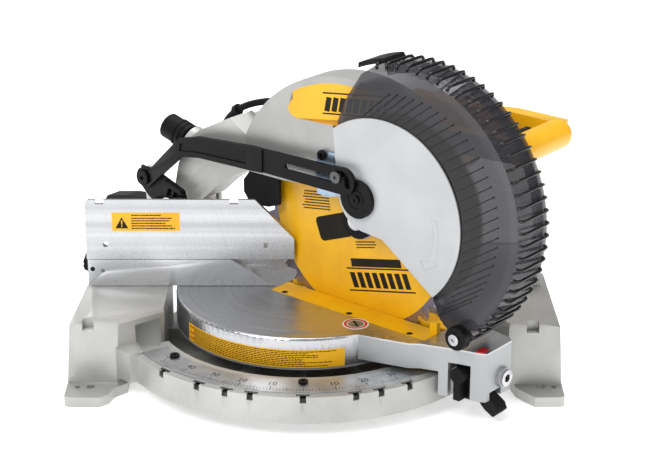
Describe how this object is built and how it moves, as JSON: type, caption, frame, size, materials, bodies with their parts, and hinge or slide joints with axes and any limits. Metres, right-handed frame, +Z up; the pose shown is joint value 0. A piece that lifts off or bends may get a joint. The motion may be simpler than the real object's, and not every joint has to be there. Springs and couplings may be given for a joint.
{
  "type": "compound miter saw",
  "caption": "Corded bench miter saw: chopping head on a tilting pivot over a swivelling table, with fences, clear lower guard and D handle.",
  "frame": {"origin": "midway between the four bench bolt holes, on the plane the feet stand on", "axes": "+Z up, +X to the operator's right along the fence, +Y to the back; the table is turned 50 degrees to the right and the head is down in the rest pose"},
  "size_m": [0.5211, 0.5402, 0.3631],
  "materials": {
    "cast_aluminium": "sand-cast, painted silver",
    "machined_aluminium": "machined, satin",
    "scale_steel": "brushed plate",
    "black_steel": "black oxide",
    "bright_steel": "bright",
    "zinc_steel": "zinc plated",
    "black_plastic": "moulded",
    "black_rubber": "matt",
    "yellow_plastic": "moulded",
    "red_plastic": "moulded",
    "blade_yellow": "coated plate, bare teeth",
    "smoked_clear": "smoked clear moulding",
    "grey_paint": "satin paint"
  },
  "bodies": {
    "base": {"base_casting": "cast_aluminium", "miter_scale": "scale_steel", "scale_screws": "black_steel", "fence_casting": "machined_aluminium", "fence_screws": "black_steel", "pivot_bolt": "bright_steel", "strain_relief": "black_rubber", "power_cord": "black_rubber", "cord_coil": "black_rubber", "plug": "black_rubber"},
    "sliding_fence": {"sliding_fence": "machined_aluminium"},
    "fence_knob": {"fence_knob": "black_plastic"},
    "turntable": {"turntable_casting": "machined_aluminium", "kerf_plate_left": "yellow_plastic", "kerf_plate_right": "yellow_plastic", "kerf_screws": "black_steel", "lock_bushing": "bright_steel", "lock_screw": "bright_steel", "miter_pointer": "red_plastic", "lever_pin": "bright_steel", "bevel_shaft": "bright_steel"},
    "detent_latch": {"detent_latch": "black_plastic"},
    "miter_lever": {"miter_lever": "black_plastic"},
    "bevel_lever": {"bevel_lever": "black_plastic"},
    "trunnion": {"trunnion_casting": "cast_aluminium", "link_bracket": "black_plastic", "head_pivot_shaft": "bright_steel", "link_screw": "black_steel"},
    "link": {"link_arm": "black_steel"},
    "head": {"head_arm": "cast_aluminium", "upper_guard": "cast_aluminium", "guard_bracket": "zinc_steel", "bracket_screw": "black_steel", "gear_housing": "cast_aluminium", "motor_housing": "yellow_plastic", "motor_end_cap": "black_plastic", "brush_caps": "black_plastic", "handle": "yellow_plastic", "dust_spout": "black_plastic", "dust_chute": "black_rubber", "arbor_bearing": "bright_steel", "motor_lead": "black_rubber", "lead_gland": "black_rubber", "lead_boot": "black_plastic", "lead_clip": "black_plastic"},
    "trigger": {"trigger": "black_plastic"},
    "spindle": {"blade": "blade_yellow", "arbor_shaft": "bright_steel", "outer_flange": "black_steel", "inner_flange": "black_steel", "arbor_bolt": "bright_steel"},
    "crank": {"guard_crank": "black_plastic", "link_pin": "bright_steel", "cap_screw": "black_steel"},
    "guard": {"guard_shell": "smoked_clear", "guard_disc": "grey_paint", "guard_tip": "black_plastic", "roller_pin": "bright_steel"},
    "roller": {"guard_roller": "black_plastic"}
  },
  "joints": [
    {"name": "miter_swivel", "type": "hinge", "parent": "base", "child": "turntable", "pos_m": [-0.0123, 0, 0.08], "axis": [0, 0, 1], "range_deg": [-98, 0]},
    {"name": "fence_slide", "type": "slide", "parent": "base", "child": "sliding_fence", "axis": [-1, 0, 0], "range_m": [0, 0.186]},
    {"name": "fence_knob_turn", "type": "hinge", "parent": "base", "child": "fence_knob", "pos_m": [-0.2423, 0.02, 0.1], "axis": [0, 1, 0], "range_deg": [0, 180]},
    {"name": "detent_press", "type": "slide", "parent": "turntable", "child": "detent_latch", "axis": [0.6428, 0.766, 0], "range_m": [0, 0.003], "stiffness_N_per_m": 1500},
    {"name": "miter_lever_tilt", "type": "hinge", "parent": "turntable", "child": "miter_lever", "pos_m": [0.16849, -0.1517, 0.036], "axis": [-0.6428, -0.766, 0], "range_deg": [-6, 0]},
    {"name": "bevel_lever_turn", "type": "hinge", "parent": "turntable", "child": "bevel_lever", "pos_m": [-0.19232, 0.15105, 0.08], "axis": [0.766, -0.6428, 0], "range_deg": [0, 60]},
    {"name": "bevel_tilt", "type": "hinge", "parent": "turntable", "child": "trunnion", "pos_m": [-0.16551, 0.12856, 0.08], "axis": [0.766, -0.6428, 0], "range_deg": [0, 45]},
    {"name": "chop", "type": "hinge", "parent": "trunnion", "child": "head", "pos_m": [-0.14253, 0.10927, 0.14], "axis": [-0.6428, -0.766, 0], "range_deg": [0, 42]},
    {"name": "link_swing", "type": "hinge", "parent": "trunnion", "child": "link", "pos_m": [-0.19285, 0.10842, 0.168], "axis": [-0.6428, -0.766, 0], "range_deg": [0, 39.48]},
    {"name": "trigger_squeeze", "type": "slide", "parent": "head", "child": "trigger", "axis": [0.766, -0.6428, 0], "range_m": [0, 0.003], "stiffness_N_per_m": 1500},
    {"name": "blade_spin", "type": "hinge", "parent": "head", "child": "spindle", "pos_m": [0.04592, -0.04885, 0.1755], "axis": [-0.6428, -0.766, 0], "continuous": true},
    {"name": "guard_crank_turn", "type": "hinge", "parent": "head", "child": "crank", "pos_m": [0.04248, -0.08251, 0.211], "axis": [-0.6428, -0.766, 0], "range_deg": [-96, 0]},
    {"name": "guard_lift", "type": "hinge", "parent": "crank", "child": "guard", "pos_m": [0.04633, -0.07792, 0.211], "axis": [-0.6428, -0.766, 0], "range_deg": [0, 16]},
    {"name": "roller_spin", "type": "hinge", "parent": "guard", "child": "roller", "pos_m": [0.14255, -0.17171, 0.096], "axis": [-0.6428, -0.766, 0], "continuous": true}
  ],
  "couplings": [
    {"joint": "fence_slide", "follows": "bevel_tilt", "m_per_rad": 0.23682},
    {"joint": "link_swing", "follows": "chop", "ratio": 0.94},
    {"joint": "guard_crank_turn", "follows": "chop", "ratio": -2.2857},
    {"joint": "guard_lift", "follows": "bevel_tilt", "ratio": 0.35556}
  ]
}
